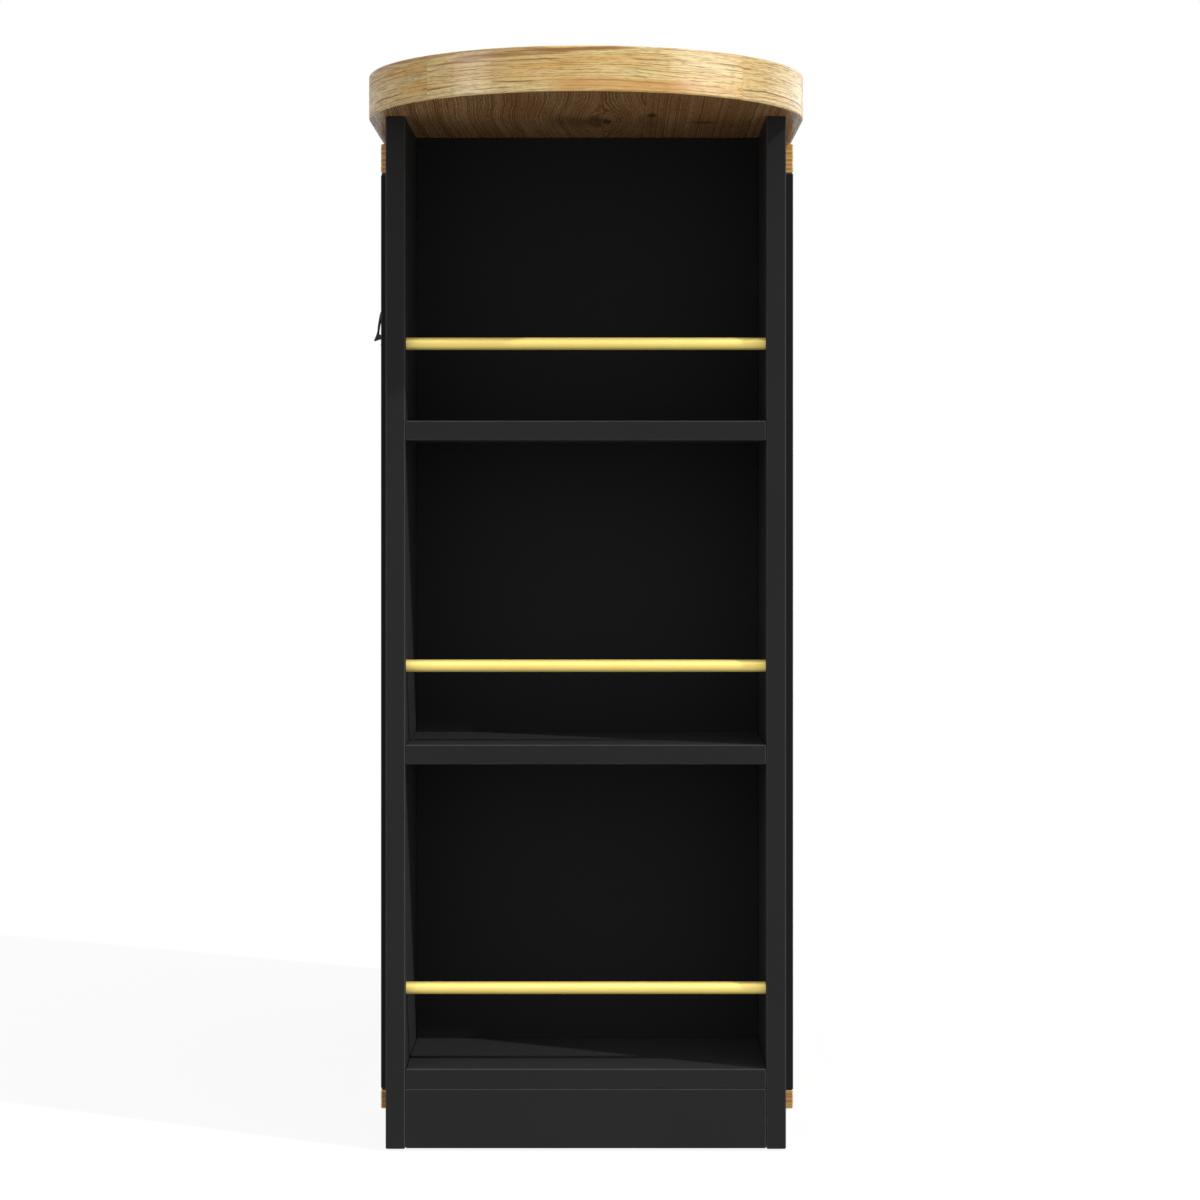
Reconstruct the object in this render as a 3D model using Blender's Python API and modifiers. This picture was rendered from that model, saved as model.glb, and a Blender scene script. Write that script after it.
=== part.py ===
"""Bar table: an oak-look top with a round end on a black cabinet with an open end rack.

Metres, +Z up. The open rack faces -Y, the doors face -X and the guest side faces +X.
The origin is on the floor, under the middle of the bounding box.
"""
import math

import bmesh
import bpy
from mathutils import Matrix, Vector

for old in list(bpy.data.objects):
    bpy.data.objects.remove(old, do_unlink=True)

# Overall sizes
HEIGHT = 1.050
LENGTH = 1.000
CARCASS_W = 0.390
SIDE_OVERHANG = 0.019
END_OVERHANG = 0.169
TOP_T = 0.042
TOP_ARRIS = 0.0015
BOARD_T = 0.019
BOARD_ARRIS = 0.001

# Fits between pieces
SEAT = 0.0003
SLIP = 0.0003
LEAD = 0.002

# Base and end rack
GLIDE_T = 0.002
GLIDE_D = 0.016
GLIDE_INSET = 0.035
PLINTH_H = 0.059
PLINTH_LIFT = 0.0006
NICHE_DEPTH = 0.163
RAIL_D = 0.012
RAIL_RISE = 0.076
RAIL_SETBACK = 0.019
RAIL_SEAT = 0.008

# Fronts and oak strips
DOOR_T = 0.016
DOOR_EDGE_GAP = 0.002
DOOR_MEETING_GAP = 0.003
FRONT_SETBACK = 0.002
TOP_STRIP_H = 0.030
TOP_STRIP_GAP = 0.004
BOTTOM_STRIP_H = 0.019
BOTTOM_STRIP_LIFT = 0.0007
STRIP_ARRIS = 0.0012

# Door pivots
PIVOT_D = 0.006
PIVOT_EDGE = 0.007
PIVOT_INNER = 0.009
PIVOT_IN_DOOR = 0.012
PIVOT_IN_STRIP = 0.008
BUSH_WALL = 0.0018
BUSH_FLANGE_D = 0.014

# Bow pulls
PULL_REACH = 0.029
PULL_H = 0.043
PULL_W = 0.010
PULL_DROP = 0.114
PULL_INSET = 0.045
PULL_ARRIS = 0.0006
PULL_SCREW_LOW = 0.0064
PULL_SCREW_PITCH = 0.032
PULL_SCREW_BITE = 0.006

# Cabinet inside
TOP_RAIL_H = 0.060
SHELF_SETBACK = 0.015
SHELF_REAR_GAP = 0.002
SHELF_END_GAP = 0.0005
SHELF_PIN_D = 0.005
SHELF_PIN_IN = 0.008
SHELF_PIN_OUT = 0.0075
SHELF_PIN_INSET = 0.060
CATCH_W = 0.040
CATCH_H = 0.014
CATCH_D = 0.026
CATCH_INSET = 0.035
STRIKE_T = 0.0015
STRIKE_ARRIS = 0.0003
STRIKE_MARGIN = 0.003
BUMPER_D = 0.010
BUMPER_INSET = 0.030

# Fasteners
SCREW_D = 0.004
SCREW_HEAD_D = 0.008
SCREW_HEAD_T = 0.002
BRACKET_LEG = 0.025
BRACKET_T = 0.002
BRACKET_W = 0.020
BRACKET_INSET = 0.130

# Facets of round pieces
RAIL_SIDES = 24
PIVOT_SIDES = 24
SMALL_SIDES = 10
TOP_ARC_STEPS = 72

# Finishes: colour, roughness, metallic
BLACK = ((0.024, 0.024, 0.024), 0.55, 0.0)
OAK = ((0.55, 0.38, 0.20), 0.5, 0.0)
BRASS = ((0.85, 0.66, 0.28), 0.25, 1.0)
STEEL = ((0.55, 0.55, 0.55), 0.35, 1.0)
PULL_BLACK = ((0.012, 0.012, 0.012), 0.4, 0.6)
RUBBER = ((0.02, 0.02, 0.02), 0.8, 0.0)
PLASTIC = ((0.30, 0.30, 0.30), 0.5, 0.0)

# Levels and planes shared by the pieces
X_MID = PULL_REACH / 2
X_LEFT = X_MID - CARCASS_W / 2
X_RIGHT = X_MID + CARCASS_W / 2
X_DOOR_OUT = X_LEFT - SIDE_OVERHANG
X_DOOR_IN = X_DOOR_OUT + DOOR_T
X_GUEST_OUT = X_RIGHT + SIDE_OVERHANG
DOOR_STANDOFF = X_LEFT - X_DOOR_IN
Y_FRONT = -LENGTH / 2 + END_OVERHANG
Y_END = LENGTH / 2
Y_NICHE = Y_FRONT + NICHE_DEPTH
Y_RACK_END = Y_NICHE + BOARD_T
Y_CABINET = Y_RACK_END + SEAT
Y_INSIDE = Y_CABINET + BOARD_T
Y_INSIDE_END = Y_END - BOARD_T
Y_FRONTS = Y_CABINET + FRONT_SETBACK
Y_FRONTS_END = Y_END - FRONT_SETBACK
DOOR_W = (Y_FRONTS_END - Y_FRONTS - DOOR_MEETING_GAP) / 2
Z_BASE = GLIDE_T
Z_UNDER_TOP = HEIGHT - TOP_T
Z_CARCASS_TOP = Z_UNDER_TOP - SEAT
Z_BOTTOM = Z_BASE + PLINTH_H
Z_FLOOR = Z_BOTTOM + BOARD_T
NICHE_H = (Z_UNDER_TOP - Z_FLOOR - 2 * BOARD_T) / 3
Z_LOWER_SHELF = Z_FLOOR + NICHE_H
Z_UPPER_SHELF = Z_LOWER_SHELF + BOARD_T + NICHE_H
Z_TOP_STRIP = Z_UNDER_TOP - TOP_STRIP_GAP - TOP_STRIP_H
Z_BOTTOM_STRIP = Z_BASE + BOTTOM_STRIP_LIFT
Z_DOOR = Z_BOTTOM_STRIP + BOTTOM_STRIP_H + DOOR_EDGE_GAP
Z_DOOR_TOP = Z_TOP_STRIP - DOOR_EDGE_GAP
Z_PULL = Z_DOOR_TOP - PULL_DROP - PULL_H
Z_TOP_RAIL = Z_CARCASS_TOP - TOP_RAIL_H
X_PIVOT = X_DOOR_IN - PIVOT_INNER
Y_PIVOTS = {"near": Y_FRONTS + PIVOT_EDGE, "far": Y_FRONTS_END - PIVOT_EDGE}

scene = bpy.context.scene
parts = bpy.data.collections.new("bar_table")
cutters = bpy.data.collections.new("bar_table_cutters")
scene.collection.children.link(parts)
scene.collection.children.link(cutters)
drilled = {}


def add_part(name, mesh, finish, location=(0.0, 0.0, 0.0)):
    """Name a mesh, give it its own material and put it in the table's collection."""
    mesh.name = name
    colour, roughness, metallic = finish
    surface = bpy.data.materials.new(name + "_surface")
    surface.use_nodes = True
    shader = surface.node_tree.nodes["Principled BSDF"]
    shader.inputs["Base Color"].default_value = (*colour, 1.0)
    shader.inputs["Roughness"].default_value = roughness
    shader.inputs["Metallic"].default_value = metallic
    mesh.materials.clear()
    mesh.materials.append(surface)
    piece = bpy.data.objects.new(name, mesh)
    piece.location = location
    parts.objects.link(piece)
    return piece


def ease(piece, width):
    """Take the sharp corner off a piece's edges."""
    bevel = piece.modifiers.new("Eased edges", "BEVEL")
    bevel.width = width
    bevel.segments = 1
    bevel.limit_method = "ANGLE"
    bevel.angle_limit = math.radians(40)
    return piece


def board(name, xs, ys, zs, finish, arris=BOARD_ARRIS):
    """A panel between two x, two y and two z planes, with eased edges."""
    low = Vector((xs[0], ys[0], zs[0]))
    high = Vector((xs[1], ys[1], zs[1]))
    mesh = bpy.data.meshes.new(name)
    form = bmesh.new()
    bmesh.ops.create_cube(form, size=1.0, matrix=Matrix.Diagonal((*(high - low), 1.0)))
    form.to_mesh(mesh)
    form.free()
    return ease(add_part(name, mesh, finish, (low + high) / 2), arris)


def evaluated_mesh(maker):
    """Turn a curve or a profile with modifiers into a plain welded mesh and remove the maker."""
    scene.collection.objects.link(maker)
    graph = bpy.context.evaluated_depsgraph_get()
    mesh = bpy.data.meshes.new_from_object(maker.evaluated_get(graph))
    bpy.data.objects.remove(maker)
    form = bmesh.new()
    form.from_mesh(mesh)
    bmesh.ops.remove_doubles(form, verts=form.verts, dist=0.000002)
    form.to_mesh(mesh)
    form.free()
    return mesh


def turned(profile, sides, ring=False):
    """A solid turned about z from (radius, height) points that run down its outer side.

    A ring's profile closes on itself, and any other profile starts and ends on the axis.
    """
    mesh = bpy.data.meshes.new("profile")
    links = [(i, i + 1) for i in range(len(profile) - 1)]
    if ring:
        links.append((len(profile) - 1, 0))
    mesh.from_pydata([(r, 0.0, z) for r, z in profile], links, [])
    maker = bpy.data.objects.new("profile", mesh)
    turn = maker.modifiers.new("Turn", "SCREW")
    turn.axis = "Z"
    turn.steps = sides
    turn.render_steps = sides
    turn.use_merge_vertices = True
    turn.merge_threshold = 0.00001
    return evaluated_mesh(maker)


def slab(points, thickness):
    """A flat outline in x and y, given a thickness that is halved by z = 0."""
    curve = bpy.data.curves.new("outline", "CURVE")
    curve.dimensions = "2D"
    curve.fill_mode = "BOTH"
    curve.extrude = thickness / 2
    line = curve.splines.new("POLY")
    line.points.add(len(points) - 1)
    for point, (x, y) in zip(line.points, points):
        point.co = (x, y, 0.0, 1.0)
    line.use_cyclic_u = True
    return evaluated_mesh(bpy.data.objects.new("outline", curve))


def flow(points, steps):
    """Points along a smooth curve that passes through each given point in turn."""
    ends = [points[0], *points, points[-1]]
    line = []
    for a, b, c, d in zip(ends, ends[1:], ends[2:], ends[3:]):
        for i in range(steps):
            t = i / steps
            line.append(tuple(
                b[k] + t * (c[k] - a[k]) / 2
                + t * t * (2 * a[k] - 5 * b[k] + 4 * c[k] - d[k]) / 2
                + t * t * t * (3 * b[k] - a[k] - 3 * c[k] + d[k]) / 2
                for k in range(2)
            ))
    line.append(points[-1])
    return line


def toward(spot, direction):
    """The placement that puts a turned piece's z axis along a direction, at a spot."""
    turn = Vector(direction).to_track_quat("Z", "Y").to_matrix().to_4x4()
    return Matrix.Translation(spot) @ turn


def placed(name, mesh, place, finish):
    """A copy of a small piece's mesh, as a part of its own in its place."""
    piece = add_part(name, mesh.copy(), finish)
    piece.matrix_world = place
    return piece


def hole(piece, start, direction, depth, diameter, sides=SMALL_SIDES):
    """Note a round hole that starts at a piece's face and runs along a direction."""
    way = Vector(direction).normalized()
    first = Vector(start) - way * LEAD
    last = Vector(start) + way * depth
    drilled.setdefault(piece, []).append((first, last, diameter / 2, sides))


def drill_all():
    """Cut the noted holes, with one cutter for each piece."""
    for piece, holes in drilled.items():
        form = bmesh.new()
        for first, last, radius, sides in holes:
            bmesh.ops.create_cone(
                form, cap_ends=True, segments=sides, radius1=radius, radius2=radius,
                depth=(last - first).length,
                matrix=toward((first + last) / 2, last - first),
            )
        mesh = bpy.data.meshes.new(piece.name + "_holes")
        form.to_mesh(mesh)
        form.free()
        cutter = bpy.data.objects.new(piece.name + "_holes", mesh)
        cutter.hide_render = True
        cutter.display_type = "WIRE"
        cutters.objects.link(cutter)
        cut = piece.modifiers.new("Holes", "BOOLEAN")
        cut.operation = "DIFFERENCE"
        cut.solver = "EXACT"
        cut.object = cutter


# Worktop: one slab, square at the far end and a half circle at the rack's end
top_r = CARCASS_W / 2 + SIDE_OVERHANG
arc_y = Y_FRONT - END_OVERHANG + top_r
arc = [
    (X_MID + top_r * math.cos(math.pi * i / TOP_ARC_STEPS),
     arc_y - top_r * math.sin(math.pi * i / TOP_ARC_STEPS))
    for i in range(TOP_ARC_STEPS + 1)
]
worktop = add_part(
    "worktop", slab([(X_GUEST_OUT, Y_END), *arc, (X_DOOR_OUT, Y_END)], TOP_T), OAK,
    (0.0, 0.0, HEIGHT - TOP_T / 2),
)
ease(worktop, TOP_ARRIS)

# End rack: two sides to the floor, a back, two shelves, a bottom board and a plinth
rack_x = (X_LEFT + BOARD_T + SEAT, X_RIGHT - BOARD_T - SEAT)
rack_y = (Y_FRONT + SEAT, Y_NICHE - SEAT)
full_z = (Z_BASE, Z_CARCASS_TOP)
rack_left = board("end_left_side", (X_LEFT, X_LEFT + BOARD_T), (Y_FRONT, Y_RACK_END), full_z, BLACK)
rack_right = board("end_right_side", (X_RIGHT - BOARD_T, X_RIGHT), (Y_FRONT, Y_RACK_END), full_z, BLACK)
board("end_back_panel", rack_x, (Y_NICHE, Y_RACK_END), full_z, BLACK)
board("end_upper_shelf", rack_x, rack_y, (Z_UPPER_SHELF, Z_UPPER_SHELF + BOARD_T), BLACK)
board("end_lower_shelf", rack_x, rack_y, (Z_LOWER_SHELF, Z_LOWER_SHELF + BOARD_T), BLACK)
board("end_bottom_board", rack_x, rack_y, (Z_BOTTOM, Z_FLOOR), BLACK)
board(
    "end_plinth", rack_x, (Y_FRONT + SEAT, Y_FRONT + BOARD_T),
    (Z_BASE + PLINTH_LIFT, Z_BOTTOM - SEAT), BLACK,
)

# Rails: brass rods whose ends sit in blind holes in the rack's sides
rail_y = Y_FRONT + RAIL_SETBACK
rail_half = CARCASS_W / 2 - BOARD_T + RAIL_SEAT - SEAT
rail_mesh = turned(
    [(0.0, rail_half), (RAIL_D / 2, rail_half), (RAIL_D / 2, -rail_half), (0.0, -rail_half)],
    RAIL_SIDES,
)
for name, shelf_z in (
    ("rail_upper", Z_UPPER_SHELF + BOARD_T),
    ("rail_middle", Z_LOWER_SHELF + BOARD_T),
    ("rail_lower", Z_FLOOR),
):
    rail_z = shelf_z + RAIL_RISE
    placed(name, rail_mesh, toward((X_MID, rail_y, rail_z), (1, 0, 0)), BRASS)
    socket = RAIL_D + 2 * SLIP
    hole(rack_left, (X_LEFT + BOARD_T, rail_y, rail_z), (-1, 0, 0), RAIL_SEAT, socket, RAIL_SIDES)
    hole(rack_right, (X_RIGHT - BOARD_T, rail_y, rail_z), (1, 0, 0), RAIL_SEAT, socket, RAIL_SIDES)

# Door cabinet: its own two sides, a bottom, plinths, upright top rails and one loose shelf
inside_y = (Y_INSIDE + SEAT, Y_INSIDE_END - SEAT)
near_side = board("cabinet_near_side", (X_LEFT, X_RIGHT), (Y_CABINET, Y_INSIDE), full_z, BLACK)
far_side = board("cabinet_far_side", (X_LEFT, X_RIGHT), (Y_INSIDE_END, Y_END), full_z, BLACK)
board("cabinet_bottom_board", (X_LEFT, X_RIGHT), inside_y, (Z_BOTTOM, Z_FLOOR), BLACK)
plinth_z = (Z_BASE + PLINTH_LIFT, Z_BOTTOM - SEAT)
rail_z_span = (Z_TOP_RAIL, Z_CARCASS_TOP)
front_x = (X_LEFT, X_LEFT + BOARD_T)
rear_x = (X_RIGHT - BOARD_T, X_RIGHT)
board("cabinet_front_plinth", front_x, inside_y, plinth_z, BLACK)
board("cabinet_rear_plinth", rear_x, inside_y, plinth_z, BLACK)
board("cabinet_front_top_rail", front_x, inside_y, rail_z_span, BLACK)
board("cabinet_rear_top_rail", rear_x, inside_y, rail_z_span, BLACK)
shelf_x = (X_LEFT + SHELF_SETBACK, X_RIGHT - SHELF_REAR_GAP)
shelf_y = (Y_INSIDE + SHELF_END_GAP, Y_INSIDE_END - SHELF_END_GAP)
shelf_z = (Z_FLOOR + Z_TOP_RAIL - BOARD_T) / 2
board("cabinet_shelf", shelf_x, shelf_y, (shelf_z, shelf_z + BOARD_T), BLACK)
pin_mesh = turned(
    [(0.0, SHELF_PIN_OUT), (SHELF_PIN_D / 2, SHELF_PIN_OUT),
     (SHELF_PIN_D / 2, -SHELF_PIN_IN), (0.0, -SHELF_PIN_IN)],
    SMALL_SIDES,
)
pin_z = shelf_z - SEAT - SHELF_PIN_D / 2
for end, side, face, way in (("near", near_side, Y_INSIDE, 1), ("far", far_side, Y_INSIDE_END, -1)):
    for row, pin_x in (("front", shelf_x[0] + SHELF_PIN_INSET), ("rear", shelf_x[1] - SHELF_PIN_INSET)):
        placed(f"shelf_pin_{end}_{row}", pin_mesh, toward((pin_x, face, pin_z), (0, way, 0)), STEEL)
        hole(side, (pin_x, face, pin_z), (0, -way, 0), SHELF_PIN_IN + SEAT, SHELF_PIN_D + 2 * SLIP)

# Oak strips above and below the fronts, and the guest panel between the rear pair
fronts_y = (Y_FRONTS, Y_FRONTS_END)
top_strip_z = (Z_TOP_STRIP, Z_TOP_STRIP + TOP_STRIP_H)
bottom_strip_z = (Z_BOTTOM_STRIP, Z_BOTTOM_STRIP + BOTTOM_STRIP_H)
door_side_x = (X_DOOR_OUT, X_LEFT - SEAT)
guest_side_x = (X_RIGHT + SEAT, X_GUEST_OUT)
front_top = board("front_top_strip", door_side_x, fronts_y, top_strip_z, OAK, STRIP_ARRIS)
front_bottom = board("front_bottom_strip", door_side_x, fronts_y, bottom_strip_z, OAK, STRIP_ARRIS)
board("guest_top_strip", guest_side_x, fronts_y, top_strip_z, OAK, STRIP_ARRIS)
board("guest_bottom_strip", guest_side_x, fronts_y, bottom_strip_z, OAK, STRIP_ARRIS)
board(
    "guest_panel", guest_side_x, fronts_y,
    (bottom_strip_z[1] + SEAT, Z_TOP_STRIP - SEAT), BLACK,
)

# Doors with their pivot pins, bow pulls, pull screws and strike plates
pull_mesh = slab(
    [(a * PULL_REACH, b * PULL_H) for a, b in (
        flow([(0.0, 1.0), (0.22, 0.99), (0.48, 0.925), (0.68, 0.82), (0.765, 0.71), (0.82, 0.51),
              (0.855, 0.35), (0.863, 0.25), (0.90, 0.17), (0.948, 0.09), (1.0, 0.015)], 3)
        + flow([(0.97, 0.0), (0.75, 0.045), (0.40, 0.052), (0.0, 0.03)], 3)
        + flow([(0.0, 0.27), (0.20, 0.255), (0.38, 0.21), (0.60, 0.175), (0.765, 0.165)], 2)
        + flow([(0.81, 0.20), (0.785, 0.33), (0.745, 0.48), (0.67, 0.63), (0.52, 0.74),
                (0.28, 0.785), (0.0, 0.785)], 3)
    )],
    PULL_W,
)
to_door_face = Matrix(((-1, 0, 0, 0), (0, 0, 1, 0), (0, 1, 0, 0), (0, 0, 0, 1)))
pull_screw = turned(
    [(0.0, SCREW_HEAD_T), (SCREW_HEAD_D / 2, SCREW_HEAD_T), (SCREW_HEAD_D / 2, 0.0), (SCREW_D / 2, 0.0),
     (SCREW_D / 2, -SEAT - DOOR_T - SEAT - PULL_SCREW_BITE), (0.0, -SEAT - DOOR_T - SEAT - PULL_SCREW_BITE)],
    SMALL_SIDES,
)
pivot_pin = turned(
    [(0.0, DOOR_EDGE_GAP + PIVOT_IN_STRIP), (PIVOT_D / 2, DOOR_EDGE_GAP + PIVOT_IN_STRIP),
     (PIVOT_D / 2, -PIVOT_IN_DOOR), (0.0, -PIVOT_IN_DOOR)],
    PIVOT_SIDES,
)
bush_in = PIVOT_D / 2 + SLIP
bush_out = bush_in + BUSH_WALL
bush_top = PIVOT_IN_STRIP + SEAT
flange_t = DOOR_EDGE_GAP - 2 * SEAT
pivot_bush = turned(
    [(bush_out, bush_top), (bush_out, -SEAT), (BUSH_FLANGE_D / 2, -SEAT),
     (BUSH_FLANGE_D / 2, -SEAT - flange_t), (bush_in, -SEAT - flange_t), (bush_in, bush_top)],
    PIVOT_SIDES, ring=True,
)
clear_hole = SCREW_D + 2 * SLIP
catch_face_x = X_DOOR_IN + SEAT + STRIKE_T + SEAT
catch_top = Z_TOP_RAIL - SEAT
bumper_t = DOOR_STANDOFF - 2 * SEAT
bumper = turned(
    [(0.0, bumper_t), (BUMPER_D / 2, bumper_t), (BUMPER_D / 2, 0.0), (0.0, 0.0)], SMALL_SIDES,
)
for name, edge, way in (("near", Y_FRONTS, 1), ("far", Y_FRONTS_END, -1)):
    free_edge = edge + way * DOOR_W
    pivot_y = Y_PIVOTS[name]
    axis = bpy.data.objects.new(name + "_door_axis", None)
    axis.location = (X_PIVOT, pivot_y, Z_DOOR)
    parts.objects.link(axis)
    door = board(
        name + "_door", (X_DOOR_OUT, X_DOOR_IN), sorted((edge, free_edge)), (Z_DOOR, Z_DOOR_TOP), BLACK,
    )
    on_door = [door]
    for end, z, up, strip in (("bottom", Z_DOOR, -1, front_bottom), ("top", Z_DOOR_TOP, 1, front_top)):
        strip_face = z + up * DOOR_EDGE_GAP
        on_door.append(placed(
            f"{name}_door_{end}_pivot", pivot_pin, toward((X_PIVOT, pivot_y, z), (0, 0, up)), STEEL,
        ))
        placed(
            f"{name}_door_{end}_bush", pivot_bush,
            toward((X_PIVOT, pivot_y, strip_face), (0, 0, up)), PLASTIC,
        )
        hole(door, (X_PIVOT, pivot_y, z), (0, 0, -up), PIVOT_IN_DOOR + SEAT, PIVOT_D + 2 * SLIP, PIVOT_SIDES)
        hole(strip, (X_PIVOT, pivot_y, strip_face), (0, 0, up), bush_top + SEAT,
             2 * (bush_out + SLIP), PIVOT_SIDES)
    pull_y = free_edge - way * PULL_INSET
    pull = placed(
        name + "_door_pull", pull_mesh,
        Matrix.Translation((X_DOOR_OUT - SEAT, pull_y, Z_PULL)) @ to_door_face, PULL_BLACK,
    )
    ease(pull, PULL_ARRIS)
    on_door.append(pull)
    for end, rise in (("lower", 0.0), ("upper", PULL_SCREW_PITCH)):
        screw_z = Z_PULL + PULL_SCREW_LOW + rise
        on_door.append(placed(
            f"{name}_door_pull_{end}_screw", pull_screw,
            toward((X_DOOR_IN + SEAT, pull_y, screw_z), (1, 0, 0)), STEEL,
        ))
        hole(door, (X_DOOR_IN, pull_y, screw_z), (-1, 0, 0), DOOR_T + LEAD, clear_hole)
        hole(pull, (X_DOOR_OUT - SEAT, pull_y, screw_z), (-1, 0, 0), PULL_SCREW_BITE + SEAT, clear_hole)
    catch_y = free_edge - way * CATCH_INSET
    strike_w = CATCH_W / 2 - STRIKE_MARGIN
    on_door.append(board(
        name + "_door_strike", (X_DOOR_IN + SEAT, X_DOOR_IN + SEAT + STRIKE_T),
        (catch_y - strike_w, catch_y + strike_w),
        (catch_top - CATCH_H + STRIKE_MARGIN / 2, catch_top - STRIKE_MARGIN / 2), STEEL, STRIKE_ARRIS,
    ))
    board(
        name + "_magnetic_catch", (catch_face_x, catch_face_x + CATCH_D),
        (catch_y - CATCH_W / 2, catch_y + CATCH_W / 2), (catch_top - CATCH_H, catch_top), PLASTIC,
    )
    bumper_y = free_edge - way * BUMPER_INSET
    placed(
        name + "_door_bumper", bumper,
        toward((X_LEFT - SEAT, bumper_y, (Z_BOTTOM + Z_FLOOR) / 2), (-1, 0, 0)), RUBBER,
    )
    for piece in on_door:
        piece.parent = axis
        piece.matrix_parent_inverse = Matrix.Translation(axis.location).inverted()

# Angle brackets in the corner of each upright top rail and the worktop
bracket = slab(
    [(0.0, 0.0), (BRACKET_LEG, 0.0), (BRACKET_LEG, -BRACKET_T), (BRACKET_T, -BRACKET_T),
     (BRACKET_T, -BRACKET_LEG), (0.0, -BRACKET_LEG)],
    BRACKET_W,
)
bracket_mid = (BRACKET_T + BRACKET_LEG) / 2
for row, rail_face, side in (("front", X_LEFT + BOARD_T, 1), ("rear", X_RIGHT - BOARD_T, -1)):
    corner_x = rail_face + side * SEAT
    corner_z = Z_UNDER_TOP - SEAT
    spin = Matrix(((side, 0, 0, 0), (0, 0, -side, 0), (0, 1, 0, 0), (0, 0, 0, 1)))
    for end, y in (("near", Y_INSIDE + BRACKET_INSET), ("far", Y_INSIDE_END - BRACKET_INSET)):
        angle = placed(
            f"worktop_bracket_{row}_{end}", bracket,
            Matrix.Translation((corner_x, y, corner_z)) @ spin, STEEL,
        )
        upright = corner_x + side * BRACKET_T
        flat = corner_z - BRACKET_T
        hole(angle, (corner_x + side * bracket_mid, y, flat), (0, 0, 1), BRACKET_T + LEAD, clear_hole)
        hole(angle, (upright, y, corner_z - bracket_mid), (-side, 0, 0), BRACKET_T + LEAD, clear_hole)

# Glides under the rack's sides and the cabinet's far side
glide = turned(
    [(0.0, GLIDE_T - SEAT), (GLIDE_D / 2, GLIDE_T - SEAT), (GLIDE_D / 2, 0.0), (0.0, 0.0)],
    RAIL_SIDES,
)
for hand, x, way in (("left", X_LEFT, 1), ("right", X_RIGHT, -1)):
    near_spot = (x + way * BOARD_T / 2, Y_FRONT + GLIDE_INSET, 0.0)
    far_spot = (x + way * GLIDE_INSET, Y_END - BOARD_T / 2, 0.0)
    placed(f"glide_near_{hand}", glide, Matrix.Translation(near_spot), PLASTIC)
    placed(f"glide_far_{hand}", glide, Matrix.Translation(far_spot), PLASTIC)

drill_all()
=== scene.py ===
"""Looks of a bar table: a round-ended oak-look top on a matt black cabinet with a brass-railed rack."""
import math

import bmesh
import bpy
import numpy as np
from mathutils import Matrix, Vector


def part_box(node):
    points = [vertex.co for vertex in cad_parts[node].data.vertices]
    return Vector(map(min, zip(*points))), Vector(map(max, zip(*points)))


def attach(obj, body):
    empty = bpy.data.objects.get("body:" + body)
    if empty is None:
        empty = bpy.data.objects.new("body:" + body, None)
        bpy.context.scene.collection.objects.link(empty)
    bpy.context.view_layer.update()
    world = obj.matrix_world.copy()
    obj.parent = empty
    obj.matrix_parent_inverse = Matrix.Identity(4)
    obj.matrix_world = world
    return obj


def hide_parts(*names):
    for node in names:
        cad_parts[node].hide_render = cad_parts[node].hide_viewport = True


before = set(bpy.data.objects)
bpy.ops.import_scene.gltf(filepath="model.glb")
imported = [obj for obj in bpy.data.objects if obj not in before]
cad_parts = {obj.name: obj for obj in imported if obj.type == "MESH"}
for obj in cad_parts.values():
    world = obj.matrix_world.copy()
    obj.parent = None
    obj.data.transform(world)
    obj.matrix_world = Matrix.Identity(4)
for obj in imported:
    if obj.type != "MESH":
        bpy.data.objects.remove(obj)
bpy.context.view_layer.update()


# Floor glides: nail-on discs of moulded plastic under the rack's sides and the far side.
# Each is turned, with a rounded rim so that it slides over a joint in the floor.
GREY_DARK, GREY_PALE = (0.15, 0.15, 0.155), (0.21, 0.21, 0.21)
GLIDE_SIDES = 48
GLIDE_RIM = 0.0006
SOLE_RING, CAP_RING = 0.6, 0.5
DOUBLE, SLIVER = 0.0000005, 0.0000001


class Wire:
    """One socket of a finish: sums on it add Math nodes, and node() adds any other node."""

    def __init__(self, socket):
        self.socket = socket

    def node(self, kind, settings, sockets, outlet=0):
        """Add a node of a kind. Its settings are set first, then its sockets get values or links."""
        tree = self.socket.id_data
        made = tree.nodes.new("ShaderNode" + kind)
        for name, value in settings.items():
            setattr(made, name, value)
        for name, value in sockets.items():
            if isinstance(value, Wire):
                tree.links.new(value.socket, made.inputs[name])
            else:
                made.inputs[name].default_value = value
        return Wire(made.outputs[outlet])

    def into(self, shader, socket):
        """Feed this value to a shader's socket."""
        self.socket.id_data.links.new(self.socket, shader.inputs[socket])

    def sum(self, operation, *values):
        """Add a Math node on one or two values."""
        return self.node("Math", {"operation": operation}, dict(enumerate(values)))

    def __add__(self, other):
        return self.sum("ADD", self, other)

    __radd__ = __add__

    def __sub__(self, other):
        return self.sum("SUBTRACT", self, other)

    def __rsub__(self, other):
        return self.sum("SUBTRACT", other, self)

    def __mul__(self, other):
        return self.sum("MULTIPLY", self, other)

    __rmul__ = __mul__

    def __abs__(self):
        return self.sum("ABSOLUTE", self)

    def __gt__(self, other):
        return self.sum("GREATER_THAN", self, other)

    def __lt__(self, other):
        return self.sum("LESS_THAN", self, other)


def start_finish(name, plain):
    """A material with its plain values on the shader's own sockets, its shader and its coordinates."""
    finish = bpy.data.materials.new(name)
    finish.use_nodes = True
    shader = finish.node_tree.nodes["Principled BSDF"]
    for socket, value in plain.items():
        shader.inputs[socket].default_value = value
    place = finish.node_tree.nodes.new("ShaderNodeTexCoord").outputs["Object"]
    return finish, shader, Wire(place)


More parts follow.
